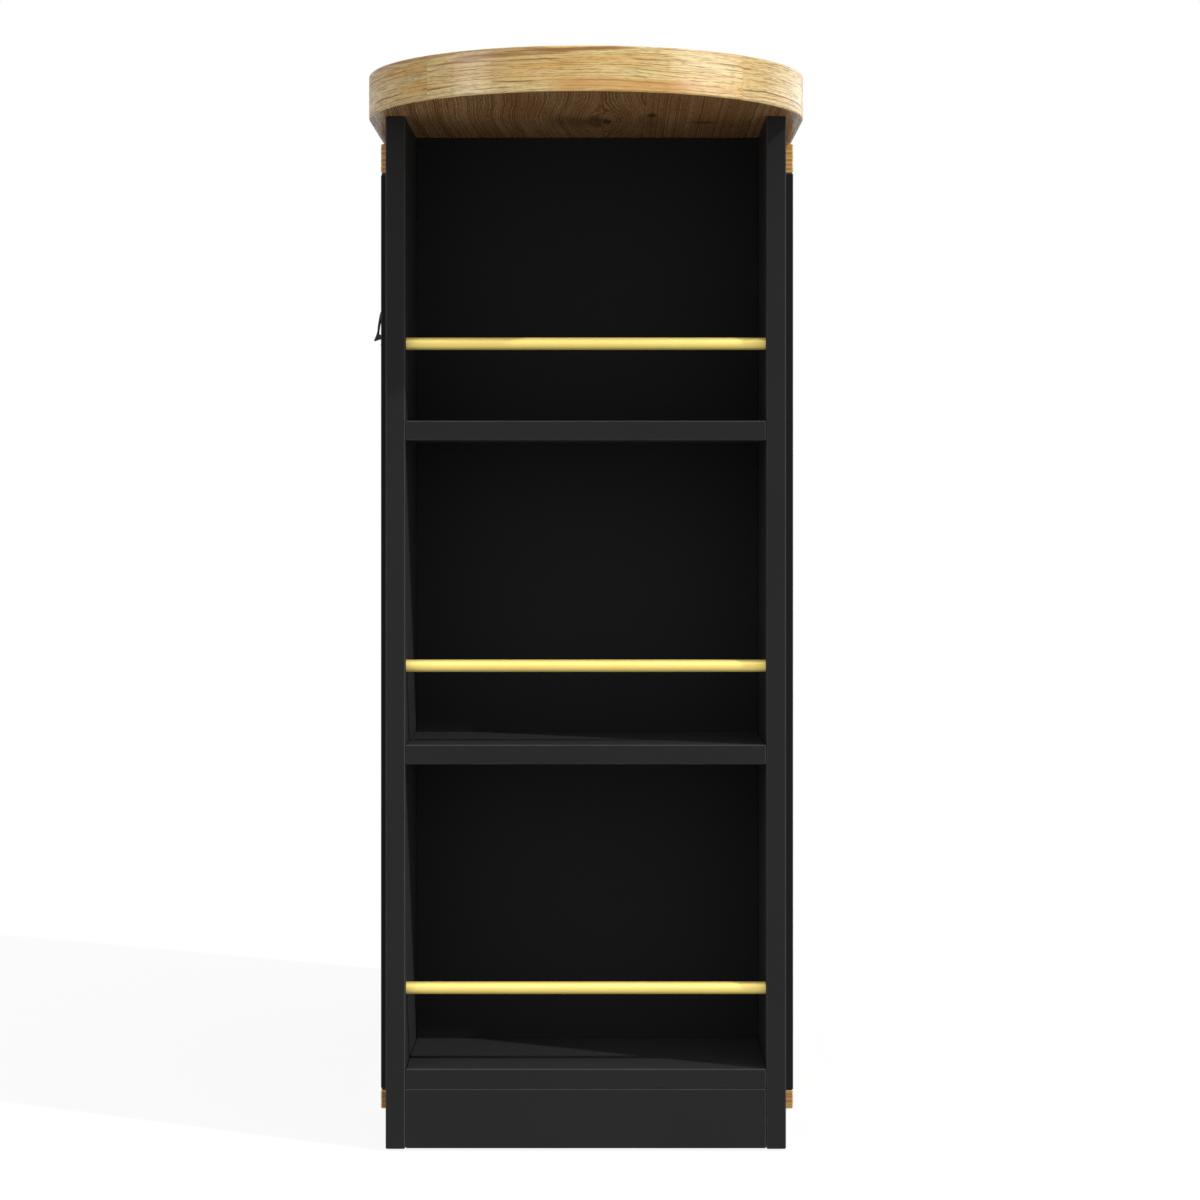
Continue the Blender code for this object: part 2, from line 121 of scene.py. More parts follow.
def speckle(place, cells, detail=2.0, roughness=0.5):
    """Noise with a number of cells per metre, the same each way or given for each axis."""
    if isinstance(cells, tuple):
        place = place.node("VectorMath", {"operation": "MULTIPLY"}, {0: place, 1: cells})
        cells = 1.0
    return place.node("TexNoise", {"noise_dimensions": "3D"}, {
        "Vector": place, "Scale": cells, "Detail": detail, "Roughness": roughness})


def spread(value, low, high, to_low, to_high):
    """Carry a range of a value to another range, smoothly and with its ends held."""
    return value.node("MapRange", {"interpolation_type": "SMOOTHSTEP"}, {
        "Value": value, "From Min": low, "From Max": high, "To Min": to_low, "To Max": to_high})


def blend(share, first, second):
    """Mix two colours by a share."""
    return share.node("Mix", {"data_type": "RGBA"}, {
        0: share, 6: first if isinstance(first, Wire) else (*first, 1.0),
        7: second if isinstance(second, Wire) else (*second, 1.0)}, outlet=2)


def grain_bump(shader, height, depth, strength):
    """Press a height pattern into a finish, depth being how deep a full step is in metres."""
    height.node("Bump", {}, {
        "Height": height, "Distance": depth, "Strength": strength}).into(shader, "Normal")


def fine_finish(name, plain, tones, shine, cells, depth, strength, details=(3.0, 2.0, 2.0)):
    """An even finish, cloudy between two tones and two roughnesses, with a fine grain pressed in. Cells
    per metre and noise details are those of its tone, its roughness and its grain."""
    finish, shader, place = start_finish(name, plain)
    tone, gloss, grain = (speckle(place, count, detail) for count, detail in zip(cells, details))
    blend(tone, *tones).into(shader, "Base Color")
    spread(gloss, 0.3, 0.7, *shine).into(shader, "Roughness")
    grain_bump(shader, grain, depth, strength)
    return finish


def close_up(mesh, sharp):
    """Merge doubled points, turn the faces outwards and shade the round parts smooth."""
    form = bmesh.new()
    form.from_mesh(mesh)
    bmesh.ops.remove_doubles(form, verts=form.verts, dist=DOUBLE)
    bmesh.ops.dissolve_degenerate(form, edges=form.edges, dist=SLIVER)
    bmesh.ops.recalc_face_normals(form, faces=form.faces)
    form.to_mesh(mesh)
    form.free()
    mesh.shade_smooth()
    mesh.set_sharp_from_angle(angle=math.radians(sharp))


def skin(name, points, wrap_rows, wrap_columns, sharp=35.0):
    """A mesh on a grid of points: neighbours in both directions make a face, and doubles are merged."""
    rows, columns = points.shape[:2]
    i, j = np.meshgrid(np.arange(rows if wrap_rows else rows - 1),
                       np.arange(columns if wrap_columns else columns - 1), indexing="ij")
    k, m = (i + 1) % rows, (j + 1) % columns
    faces = np.stack([i * columns + j, k * columns + j, k * columns + m, i * columns + m], -1)
    mesh = bpy.data.meshes.new(name)
    mesh.from_pydata(points.reshape(-1, 3).tolist(), [], faces.reshape(-1, 4).tolist())
    close_up(mesh, sharp)
    return mesh


def lathe(profile, sides):
    """Points of a turned form: each (radius, height) of the profile goes round the z axis."""
    r, z = np.array(profile, float).T
    turn = np.linspace(0.0, 2 * math.pi, sides, endpoint=False)[:, None]
    return np.stack([np.cos(turn) * r, np.sin(turn) * r, np.broadcast_to(z, (sides, len(z)))], -1)


def put(points, spot, axis):
    """Carry points so that their z axis lies along an axis and their origin is at a spot."""
    turn = np.array(Vector(axis).to_track_quat("Z", "Y").to_matrix())
    return points @ turn.T + np.array(spot)


def turned(name, profile, sides, spot, axis):
    """A turned form's mesh, with the foot of its profile at a spot and its heights along an axis."""
    return skin(name, put(lathe(profile, sides), spot, axis), True, False)


def add_piece(name, mesh, finishes, body, nodes=()):
    """Put a mesh in the scene as a piece that rides on a body and stands for CAD nodes."""
    for finish in finishes:
        mesh.materials.append(finish)
    piece = bpy.data.objects.new(name, mesh)
    bpy.context.scene.collection.objects.link(piece)
    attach(piece, body)
    if nodes:
        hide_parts(*nodes)


grey_plastic = fine_finish("moulded_grey_plastic", {"IOR": 1.45}, (GREY_DARK, GREY_PALE), (0.42, 0.6),
                           (60.0, 900.0, 1500.0), 0.0001, 0.5)

for name in [f"glide_{end}_{hand}" for end in ("near", "far") for hand in ("left", "right")]:
    low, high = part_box(name)
    mid = (low + high) / 2
    radius, rise = (high.x - low.x) / 2, high.z - low.z
    turn = np.linspace(-math.pi / 2, 0.0, 6)
    edge = np.stack([radius - GLIDE_RIM * (1.0 - np.cos(turn)), GLIDE_RIM * (1.0 + np.sin(turn))], -1)
    profile = np.concatenate([[[0.0, 0.0], [radius * SOLE_RING, 0.0]], edge,
                              [[radius, rise], [radius * CAP_RING, rise], [0.0, rise]]])
    mesh = turned(name + "_disc", profile, GLIDE_SIDES, (mid.x, mid.y, low.z), (0, 0, 1))
    add_piece(name + "_disc", mesh, [grey_plastic], "carcass", [name])


# Black boards: the rack, the cabinet, the guest panel and the doors are 16 to 19 mm board with a
# matt black coat of fine pebbled grain. The edges are closed with smoother edging and eased by hand.
# The greys of each group are those of its coat where fresh and where worn, and of its edging.
RACK_BLACK = (0.0306, 0.0319, 0.0236)
# The back panel's greys are darker than the rack's: painted shade on the backs of the niches.
BACK_SHADE_BLACK = (0.0162, 0.0170, 0.0226)
CABINET_BLACK = (0.0245, 0.0257, 0.0245)
FRONT_BLACK = (0.0217, 0.0227, 0.0200)
ARRIS_WEAR_AND_HIGHLIGHT = (0.056, 0.056, 0.055)
CLOUDS, PEBBLES, RUB_AND_HIGHLIGHT_CELLS = 6.0, 1300.0, 45.0
PEBBLE_DEPTH = 0.00005
SQUARE_ON, ASKEW = 0.9, 1.2


def rising(value, low, high):
    """0 up to a low value and 1 from a high one on, smoothly between."""
    return spread(value, low, high, 0.0, 1.0)


def own_facing(place):
    """Which way a face points along the piece's own axes, so that a swung door keeps its finish."""
    facing = place.node("NewGeometry", {}, {}, outlet="True Normal")
    return facing.node("VectorTransform", {
        "vector_type": "NORMAL", "convert_from": "WORLD", "convert_to": "OBJECT"}, {"Vector": facing})


def dress(finish, names):
    """Give CAD nodes a finish."""
    for name in names:
        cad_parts[name].material_slots[0].material = finish


def black_board_finish(name, edge_axis, greys):
    """The matt black coat, cloudy between two greys; faces square to the edge axis are the smoother
    edging in a third, and the eased arrises, which lie askew to all axes, are paler: partly rubbed wear,
    partly a painted highlight."""
    finish, shader, place = start_finish(name, {"Specular IOR Level": 0.02})
    cloud = speckle(place, CLOUDS, 2.0, 0.4)
    pebble = speckle(place, PEBBLES, 2.0, 0.6)
    facing = own_facing(place)
    facing = facing.node("VectorMath", {"operation": "ABSOLUTE"}, {0: facing})
    edging = facing.node("VectorMath", {"operation": "DOT_PRODUCT"},
                         {0: facing, 1: edge_axis}, outlet="Value") > SQUARE_ON
    arris = facing.node("VectorMath", {"operation": "DOT_PRODUCT"},
                        {0: facing, 1: (1, 1, 1)}, outlet="Value") > ASKEW
    fresh, worn, edge = ((grey, grey, grey) for grey in greys)
    coat = blend(rising(cloud, 0.35, 0.7), fresh, worn)
    coat = blend(edging * spread(cloud, 0.2, 0.8, 1.0, 0.8), coat, edge)
    # Arrises painted paler: partly rubbed wear, partly a painted highlight along the edges.
    rubbed_and_highlit = arris * spread(speckle(place, RUB_AND_HIGHLIGHT_CELLS, 3.0, 0.6), 0.3, 0.65, 0.6, 1.0)
    blend(rubbed_and_highlit, coat, ARRIS_WEAR_AND_HIGHLIGHT).into(shader, "Base Color")
    smooth = edging * 0.09 + arris * 0.12
    (spread(pebble, 0.3, 0.7, 0.54, 0.66) - smooth + (cloud - 0.5) * 0.08).into(shader, "Roughness")
    grain_bump(shader, pebble * (1.0 - edging * 0.75), PEBBLE_DEPTH, 0.4)
    return finish


dress(black_board_finish("rack_black", (0, 1, 0), RACK_BLACK), [
    "end_left_side", "end_right_side", "end_upper_shelf", "end_lower_shelf", "end_bottom_board",
    "end_plinth"])
# The back panel gets its darker greys as painted shade in the niches.
dress(black_board_finish("back_shaded_black", (1, 0, 0), BACK_SHADE_BLACK), ["end_back_panel"])
dress(black_board_finish("cabinet_black", (1, 0, 0), CABINET_BLACK), [
    "cabinet_near_side", "cabinet_far_side", "cabinet_bottom_board", "cabinet_front_plinth",
    "cabinet_rear_plinth", "cabinet_front_top_rail", "cabinet_rear_top_rail", "cabinet_shelf"])
dress(black_board_finish("front_black", (0, 1, 0), FRONT_BLACK), ["guest_panel", "near_door", "far_door"])


# Shelf pins and worktop brackets: zinc-plated steel. The pins plug into the cabinet's sides under
# the loose shelf; each folded bracket is screwed to a top rail and up into the worktop.
# A screw's sizes are its head's radius and rise, and its shank's radius and length.
ZINC_DARK, ZINC_PALE = (0.46, 0.47, 0.47), (0.62, 0.62, 0.60)
PIN_SIDES, SCREW_SIDES = 32, 64
PIN_EASE = 0.0005
BRACKET_SHEET = 0.002
BRACKET_SCREW = (0.0036, 0.0018, 0.0017, 0.0015)
HEAD_RIM = 0.35
CROSS_ARM, CROSS_REACH, CROSS_DEPTH = 0.13, 0.58, 0.55

steel, shader, place = start_finish("zinc_plated_steel", {"Metallic": 1.0})
spangle = speckle(place, 240.0, 4.0, 0.65)
blend(rising(spangle, 0.3, 0.7), ZINC_DARK, ZINC_PALE).into(shader, "Base Color")
spread(speckle(place, 700.0, 3.0), 0.3, 0.7, 0.28, 0.46).into(shader, "Roughness")
grain_bump(shader, spangle, 0.00006, 0.4)
dress(steel, [f"worktop_bracket_{row}_{end}" for row in ("front", "rear") for end in ("near", "far")])

for end, way in (("near", 1.0), ("far", -1.0)):
    for row in ("front", "rear"):
        name = f"shelf_pin_{end}_{row}"
        low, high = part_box(name)
        mid = (low + high) / 2
        radius, length = (high.z - low.z) / 2, high.y - low.y
        turn = np.linspace(math.pi / 2, 0.0, 5)
        nose = np.stack([radius - PIN_EASE * (1.0 - np.cos(turn)),
                         length - PIN_EASE * (1.0 - np.sin(turn))], -1)
        profile = np.concatenate([[[0.0, length]], nose, [[radius, 0.0], [0.0, 0.0]]])
        foot = (mid.x, low.y if way > 0 else high.y, mid.z)
        mesh = turned(name + "_peg", profile, PIN_SIDES, foot, (0, way, 0))
        add_piece(name + "_peg", mesh, [steel], "carcass", [name])


def screw_head(radius, rise, shank, length):
    """A pan-head screw up the z axis: a domed head that falls off at its rim, with a cross pressed in.

    Height over the head is a rim's share of the rise, and the rest times the root of one less the
    radius squared; within the cross's arms it drops by the cross's depth. A straight shank closes it.
    """
    ring = np.concatenate([np.linspace(0.0, 0.62, 15), np.linspace(0.68, 1.0, 9)])
    turn = np.linspace(0.0, 2 * math.pi, SCREW_SIDES, endpoint=False)[:, None]
    x, y = np.cos(turn) * ring * radius, np.sin(turn) * ring * radius
    dome = HEAD_RIM + (1.0 - HEAD_RIM) * np.sqrt(np.clip(1.0 - ring ** 2, 0.0, 1.0))
    arm = np.minimum(np.abs(x), np.abs(y)) / (CROSS_ARM * radius)
    reach = np.hypot(x, y) / (CROSS_REACH * radius)
    dip = np.clip(1.6 - 1.2 * arm, 0.0, 1.0) * np.clip(5.0 - 5.0 * reach, 0.0, 1.0)
    top = np.stack([x, y, rise * (dome - CROSS_DEPTH * dip)], -1)
    below = lathe([(radius, 0.0), (shank, 0.0), (shank, -length), (0.0, -length)], SCREW_SIDES)
    return np.concatenate([top, below], 1)


def add_screw(name, sizes, spot, out, body, nodes=()):
    """A plated screw of given sizes, with the seat of its head at a spot and its head pointing out."""
    mesh = skin(name, put(screw_head(*sizes), spot, out), True, False)
    add_piece(name, mesh, [steel], body, nodes)


for row, side in (("front", 1.0), ("rear", -1.0)):
    for end in ("near", "far"):
        low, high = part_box(f"worktop_bracket_{row}_{end}")
        reach, y = (BRACKET_SHEET + high.z - low.z) / 2, (low.y + high.y) / 2
        corner = low.x if side > 0 else high.x
        add_screw(f"bracket_{row}_{end}_top_screw", BRACKET_SCREW,
                  (corner + side * reach, y, high.z - BRACKET_SHEET), (0, 0, -1), "carcass")
        add_screw(f"bracket_{row}_{end}_rail_screw", BRACKET_SCREW,
                  (corner + side * BRACKET_SHEET, y, high.z - reach), (side, 0, 0), "carcass")


# Rails: three brass-coloured rods of 12 mm, drawn and satin-polished lengthwise. Their ends sit in
# blind holes in the rack's sides.
BRASS_PALE, BRASS_DEEP = (0.95, 0.755, 0.210), (0.93, 0.72, 0.190)
RAIL_SIDES, RAIL_RINGS = 72, 12
RAIL_EASE = 0.0008

brass, shader, place = start_finish("satin_brass", {"Metallic": 0.4, "Specular IOR Level": 0.8})
drawn = speckle(place, (6.0, 1400.0, 1400.0), 3.0, 0.6)
patch = speckle(place, 14.0, 3.0, 0.6)
blend(rising(patch, 0.3, 0.75), BRASS_PALE, BRASS_DEEP).into(shader, "Base Color")
(spread(drawn, 0.3, 0.7, 0.50, 0.60) + (patch - 0.5) * 0.06).into(shader, "Roughness")
grain_bump(shader, drawn, 0.00003, 0.35)

for name in ("rail_upper", "rail_middle", "rail_lower"):
    low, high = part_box(name)
    mid = (low + high) / 2
    radius, length = (high.y - low.y) / 2, high.x - low.x
    profile = [(0.0, length), (radius - RAIL_EASE, length), (radius, length - RAIL_EASE)]
    profile += [(radius, length * step / RAIL_RINGS) for step in range(RAIL_RINGS - 1, 0, -1)]
    profile += [(radius, RAIL_EASE), (radius - RAIL_EASE, 0.0), (0.0, 0.0)]
    mesh = turned(name + "_rod", profile, RAIL_SIDES, (low.x, mid.y, mid.z), (1, 0, 0))
    add_piece(name + "_rod", mesh, [brass], "carcass", [name])


# Oak strips: planed strips above and below the fronts, screwed on from inside. The grain runs along
# them, and their sawn ends show the layers lying flat. Moulded bushes for the doors sit in two.
OAK_PALE = (0.84, 0.65, 0.302)
OAK_HONEY = (0.77, 0.465, 0.140)
OAK_BROWN = (0.22, 0.098, 0.025)
# Each strip's sawn end has a tone of its own with painted shade in it: the lower strips' ends are much
# darker, and the front strips' ends darker than the guest side's.
STRIP_END_TONES_AND_SHADE = {"front_top": (0.61, 0.31, 0.115), "front_bottom": (0.23, 0.094, 0.020),
              "guest_top": (0.67, 0.345, 0.085), "guest_bottom": (0.44, 0.22, 0.060)}
EARLY_WOOD, LATE_WOOD = 1.35, 0.62
LACQUER = {"Specular IOR Level": 0.0, "Coat Roughness": 0.26}
COAT = 0.65
STRIP_LAYERS, STRIP_DRAW = 430.0, 12.0
PLASTIC_DARK, PLASTIC_PALE = (0.020, 0.020, 0.021), (0.032, 0.032, 0.032)


def falling(value, low, high):
    """1 up to a low value and 0 from a high one on, smoothly between."""
    return spread(value, low, high, 1.0, 0.0)


def fraction(value):
    """What is left of a value after its whole number."""
    return value.sum("FRACT", value)


def uneven(value, scale):
    """Noise along one value."""
    return value.node("TexNoise", {"noise_dimensions": "1D"}, {"W": value, "Scale": scale, "Detail": 1.0})


def oak_colour(along, across):
    """Oak's colour where x of the coordinates runs along the grain and across counts its layers: broad
    honey zones, thin broken lines between the layers, and finer dashes of two lengths."""
    zone = speckle(along, (5.0, 60.0, 60.0), 3.0, 0.55)
    streak = speckle(along, (9.0, 330.0, 330.0), 4.0, 0.62)
    drift = speckle(along, (9.0, 40.0, 40.0)) - 0.5
    ripple = speckle(along, (75.0, 70.0, 70.0)) - 0.5
    layer = across + drift * 0.007 + ripple * 0.0016
    phase = fraction(layer * 370.0 + uneven(layer, 170.0) * 3.0)
    unbroken = rising(speckle(along, (24.0, 390.0, 390.0)), 0.36, 0.58)
    lines = falling(abs(phase - 0.5), 0.05, 0.18) * unbroken
    dashes = rising(speckle(along, (30.0, 560.0, 560.0)), 0.50, 0.64)
    pores = rising(speckle(along, (110.0, 720.0, 720.0)), 0.52, 0.64)
    base = blend(rising(zone, 0.36, 0.66), OAK_PALE, OAK_HONEY)
    for mark, share in ((lines, 0.78), (dashes, 0.30), (pores, 0.34)):
        base = blend(mark * share, base, OAK_BROWN)
    return base, streak, lines * 0.5 + dashes * 0.4 + pores * 0.2


def oak_shine(shader, streak, lines, coat=COAT):
    """Satin lacquer: a little duller in the streaks, with the pores pressed in."""
    spread(streak, 0.3, 0.75, 0.45, 0.58).into(shader, "Roughness")
    (spread(lines, 0.0, 0.8, 1.0, 0.55) * coat).into(shader, "Coat Weight")
    grain_bump(shader, 1.0 - lines, 0.0001, 0.3)


# The sawn-end tone of each strip carries painted shade.
for strip, sawn_end_and_shade in STRIP_END_TONES_AND_SHADE.items():
    oak_strip, shader, place = start_finish(strip + "_oak", LACQUER)
    flat = place.node("Mapping", {"vector_type": "TEXTURE"}, {
        "Vector": place, "Rotation": (0, 0, math.radians(90)), "Scale": (1, STRIP_DRAW, 1)})
    height = place.node("SeparateXYZ", {}, {0: place}, outlet="Z")
    colour, streak, lines = oak_colour(flat, height)
    layers = rising(uneven(height, STRIP_LAYERS), 0.36, 0.64)
    end = blend(layers, [part * EARLY_WOOD for part in sawn_end_and_shade], [part * LATE_WOOD for part in sawn_end_and_shade])
    facing = own_facing(place)
    sawn = abs(facing.node("SeparateXYZ", {}, {0: facing}, outlet="Y")) > SQUARE_ON
    blend(sawn * 0.9, colour, end).into(shader, "Base Color")
    oak_shine(shader, streak, lines)
    dress(oak_strip, [strip + "_strip"])

dark_plastic = fine_finish(
    "moulded_dark_plastic", {"IOR": 1.45, "Specular IOR Level": 0.2}, (PLASTIC_DARK, PLASTIC_PALE),
    (0.5, 0.65), (60.0, 900.0, 1500.0), 0.0001, 0.5)
dress(dark_plastic, [f"{end}_door_{level}_bush" for end in ("near", "far") for level in ("top", "bottom")])


# Door hardware inside: blackened pivot pins and plated strikes on the doors, and for each door a magnetic
# catch in a grey housing under the top rail, held by two screws, and a rubber bumper on the bottom board.
RUBBER_DARK, RUBBER_PALE = (0.016, 0.016, 0.016), (0.03, 0.03, 0.029)
STEEL_BLACK, STEEL_GREY = (0.075, 0.075, 0.077), (0.12, 0.12, 0.118)
CATCH_SCREW = (0.003, 0.0014, 0.0014, 0.0012)
STRIKE_SCREW = (0.003, 0.0002, 0.0014, 0.0012)
CATCH_SCREW_REACH = 0.013

rubber = fine_finish("bumper_rubber", {"Specular IOR Level": 0.3}, (RUBBER_DARK, RUBBER_PALE),
                     (0.7, 0.85), (300.0, 1200.0, 2200.0), 0.0001, 0.4)
dark_steel = fine_finish("blackened_steel", {"Metallic": 1.0}, (STEEL_BLACK, STEEL_GREY),
                         (0.4, 0.55), (400.0, 900.0, 1800.0), 0.00004, 0.4, (3.0, 3.0, 2.0))

dress(dark_steel, [f"{end}_door_{level}_pivot" for end in ("near", "far") for level in ("top", "bottom")])
dress(steel, ["near_door_strike", "far_door_strike"])
dress(grey_plastic, ["near_magnetic_catch", "far_magnetic_catch"])
dress(rubber, ["near_door_bumper", "far_door_bumper"])

for end in ("near", "far"):
    low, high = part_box(end + "_magnetic_catch")
    mid = (low + high) / 2
    for hand, reach in (("near", -CATCH_SCREW_REACH), ("far", CATCH_SCREW_REACH)):
        add_screw(f"{end}_catch_{hand}_screw", CATCH_SCREW,
                  (mid.x, mid.y + reach, low.z), (0, 0, -1), "carcass")
    low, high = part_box(end + "_door_strike")
    mid = (low + high) / 2
    add_screw(end + "_strike_screw", STRIKE_SCREW, (high.x, mid.y, mid.z), (1, 0, 0), end + "_door")


# Bow pulls: cast metal painted matt black, two to the pair of doors near their meeting edges. Each
# bow leaves the door at the top, comes down and out to a pointed lip, and returns on a lower arm.
PAINT_DARK, PAINT_PALE = (0.009, 0.009, 0.009), (0.015, 0.015, 0.0148)
BOW_STEPS, ARM_STEPS, SPAN_STEPS = 56, 30, 24
BOW_EASE = 0.0011
PULL_SCREW_RISE, PULL_SCREW_SHANK = 0.002, 0.002

pull_black = fine_finish(
    "black_painted_metal", {"Metallic": 0.0, "Specular IOR Level": 0.4}, (PAINT_DARK, PAINT_PALE),
    (0.36, 0.5), (120.0, 1500.0, 2400.0), 0.00008, 0.4, (3.0, 2.0, 3.0))


def flowing(points, count):
    """Points spaced evenly along a smooth curve through the given ones (Catmull-Rom spans)."""
    p = np.array(points, float)
    p = np.concatenate([[2 * p[0] - p[1]], p, [2 * p[-1] - p[-2]]])
    t = np.linspace(0.0, 1.0, SPAN_STEPS, endpoint=False)[None, :, None]
    a, b, c, d = (p[k:len(p) - 3 + k, None] for k in range(4))
    line = b + (t * (c - a) + t ** 2 * (2 * a - 5 * b + 4 * c - d) + t ** 3 * (3 * b - a - 3 * c + d)) / 2
    line = np.concatenate([line.reshape(-1, 2), p[-2:-1]])
    way = np.concatenate([[0.0], np.cumsum(np.hypot(*np.diff(line, axis=0).T))])
    at = np.linspace(0.0, way[-1], count)
    return np.stack([np.interp(at, way, line[:, k]) for k in range(2)], -1)


def bow(reach, height, width, ease):
    """The bow: a rounded box section carried from the upper foot to the lip and back to the lower foot.

    Its outer and inner lines, in shares of reach and height, are paired point by point; across the
    pair the section is a box with its corners rounded by the ease. Axes: out from the door, across, up.
    """
    outer = np.concatenate([
        flowing([(0.0, 1.0), (0.22, 0.99), (0.48, 0.925), (0.68, 0.82), (0.765, 0.71), (0.82, 0.51),
                 (0.855, 0.35), (0.863, 0.25), (0.90, 0.17), (0.948, 0.09), (0.995, 0.008)], BOW_STEPS),
        flowing([(0.97, 0.0), (0.75, 0.045), (0.40, 0.052), (0.0, 0.03)], ARM_STEPS)])
    inner = np.concatenate([
        flowing([(0.0, 0.785), (0.28, 0.785), (0.52, 0.74), (0.67, 0.63), (0.745, 0.48),
                 (0.785, 0.33), (0.81, 0.20)], BOW_STEPS),
        flowing([(0.765, 0.165), (0.60, 0.175), (0.38, 0.21), (0.20, 0.255), (0.0, 0.27)], ARM_STEPS)])
    outer, inner = outer * (reach, height), inner * (reach, height)
    turn = np.linspace(0.0, math.pi / 2, 5)
    corner = np.stack([np.cos(turn), np.sin(turn)], -1)
    half = np.hypot(*(outer - inner).T)[:, None] / 2
    ease = np.minimum(ease, half * 0.8)
    quarter_s = half - ease + ease * corner[:, 0]
    quarter_w = width / 2 - ease + ease * corner[:, 1]
    s = np.concatenate([quarter_s, -quarter_s[:, ::-1], -quarter_s, quarter_s[:, ::-1]], 1) / half
    w = np.concatenate([quarter_w, quarter_w[:, ::-1], -quarter_w, -quarter_w[:, ::-1]], 1)
    middle, arm = (outer + inner) / 2, (outer - inner) / 2
    flat = middle[:, None] + s[..., None] * arm[:, None]
    points = np.stack([flat[..., 0], w, flat[..., 1]], -1)
    feet = [np.broadcast_to(points[k].mean(0), points[k].shape)[None] for k in (0, -1)]
    return np.concatenate([feet[0], points, feet[1]])


for end in ("near", "far"):
    low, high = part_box(end + "_door_pull")
    points = bow(high.x - low.x, high.z - low.z, high.y - low.y, BOW_EASE)
    points = points * (-1.0, 1.0, 1.0) + (high.x, (low.y + high.y) / 2, low.z)
    mesh = skin(end + "_pull_bow", points, False, True, 50.0)
    add_piece(end + "_pull_bow", mesh, [pull_black], end + "_door", [end + "_door_pull"])
    for level in ("lower", "upper"):
        name = f"{end}_door_pull_{level}_screw"
        low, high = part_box(name)
        mid = (low + high) / 2
        sizes = ((high.z - low.z) / 2, PULL_SCREW_RISE, PULL_SCREW_SHANK, high.x - low.x - PULL_SCREW_RISE)
        spot = (high.x - PULL_SCREW_RISE, mid.y, mid.z)
        add_screw(name + "_pan", sizes, spot, (1, 0, 0), end + "_door", [name])


# Worktop: a 42 mm oak-look slab with a half-round end. Two wide veneers meet on its faces, and three
# lengths of edging with lengthwise grain go round its edge, butted on both shoulders of the curve.
low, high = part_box("worktop")
TOP_ROUND = (high.x - low.x) / 2
TOP_CORNER = 0.002
TOP_EASE = 0.0015
SIDE_STEPS, BEND_STEPS, END_STEPS = 60, 240, 32
EDGING_JOINT = 0.1632
PLANK_JOINT = 0.0714
SEAM_CORE, SEAM_RIM = 0.0002, 0.0006
# Painted shade on the edging's shoulders, strongest on the left: its tone, and its shares left and right.
SHOULDER_SHADE_TONE = (0.62, 0.58, 0.54)
SHOULDER_SHADE_SHARES = (0.24, 0.04)
EYE = (0.030, -0.305)
EYE_BULGE, EYE_CORE, EYE_REACH, EYE_LENGTH = 0.018, 0.012, 0.12, 0.10
FACE_TAN = (0.78, 0.54, 0.225)
FACE_RUST = (0.585, 0.348, 0.120)
FACE_BROWN = (0.235, 0.126, 0.043)
FACE_RINGS = 390.0
# Painted shade under the top: the underside is tinted darker and redder than the top face.
UNDERSIDE_SHADE_TONE = (0.93, 0.81, 0.92)

# Knots and dark clouds in the face veneer: x, y, half sizes along x and y, and strength.
KNOT = (0.10, 0.055, 0.026)
KNOTS = ((0.018, -0.292, 0.026, 0.044, 0.55), (0.036, -0.291, 0.004, 0.014, 0.9),
         (0.074, -0.290, 0.018, 0.050, 0.4), (0.079, -0.3346, 0.004, 0.013, 0.85),
         (0.1293, -0.2835, 0.016, 0.014, 0.85))

# Reddish flames in the edging: start and stop along it, height at both, half width, strength and colour.
OAK_FLAME, OAK_FLUSH = (0.34, 0.15, 0.036), (0.60, 0.30, 0.070)
FLAME_FADE = 0.03
FLAMES = ((-0.055, 0.140, 0.0405, 0.0350, 0.0017, 0.95, OAK_FLAME),
          (0.000, 0.165, 0.0365, 0.0310, 0.0011, 0.9, OAK_FLAME),
          (0.020, 0.290, 0.0415, 0.0405, 0.0022, 0.55, OAK_FLAME),
          (0.030, 0.150, 0.0290, 0.0270, 0.0060, 0.35, OAK_FLUSH),
          (-0.120, 0.045, 0.0075, 0.0050, 0.0055, 0.8, OAK_FLUSH))


def top_outline(low, high):
    """The outline from the right far corner round the half circle to the left far corner and back along
    the far end: points, outward directions and the way from the middle of the round end."""
    mid_x, arc_y = (low.x + high.x) / 2, low.y + TOP_ROUND
    run = np.linspace(1.0, 0.0, SIDE_STEPS, endpoint=False)
    side_y = arc_y + run * (high.y - TOP_CORNER - arc_y)
    bend = np.linspace(0.0, math.pi, BEND_STEPS + 1)
    fillet = np.linspace(0.0, math.pi / 2, 6)[1:-1]
    c, s = np.cos(fillet), np.sin(fillet)
    reach, deep = TOP_ROUND - TOP_CORNER, high.y - TOP_CORNER
    across = np.linspace(-1.0, 1.0, END_STEPS + 1)
    one, none = np.ones_like(run), np.zeros_like(run)
    spots = np.concatenate([
        np.stack([mid_x + TOP_ROUND * one, side_y], -1),
        np.stack([mid_x + TOP_ROUND * np.cos(bend), arc_y - TOP_ROUND * np.sin(bend)], -1),
        np.stack([mid_x - TOP_ROUND * one, side_y], -1)[::-1],
        np.stack([mid_x - reach - TOP_CORNER * c, deep + TOP_CORNER * s], -1),
        np.stack([mid_x + across * reach, np.full_like(across, high.y)], -1),
        np.stack([mid_x + reach + TOP_CORNER * s, deep + TOP_CORNER * c], -1)])
    facing = np.concatenate([
        np.stack([one, none], -1), np.stack([np.cos(bend), -np.sin(bend)], -1),
        np.stack([-one, none], -1), np.stack([-c, s], -1),
        np.stack([0 * across, 0 * across + 1.0], -1), np.stack([s, c], -1)])
    loop = np.concatenate([spots, spots[:1]])
    way = np.concatenate([[0.0], np.cumsum(np.hypot(*np.diff(loop, axis=0).T))])
    return spots, facing, way - way[SIDE_STEPS + BEND_STEPS // 2]


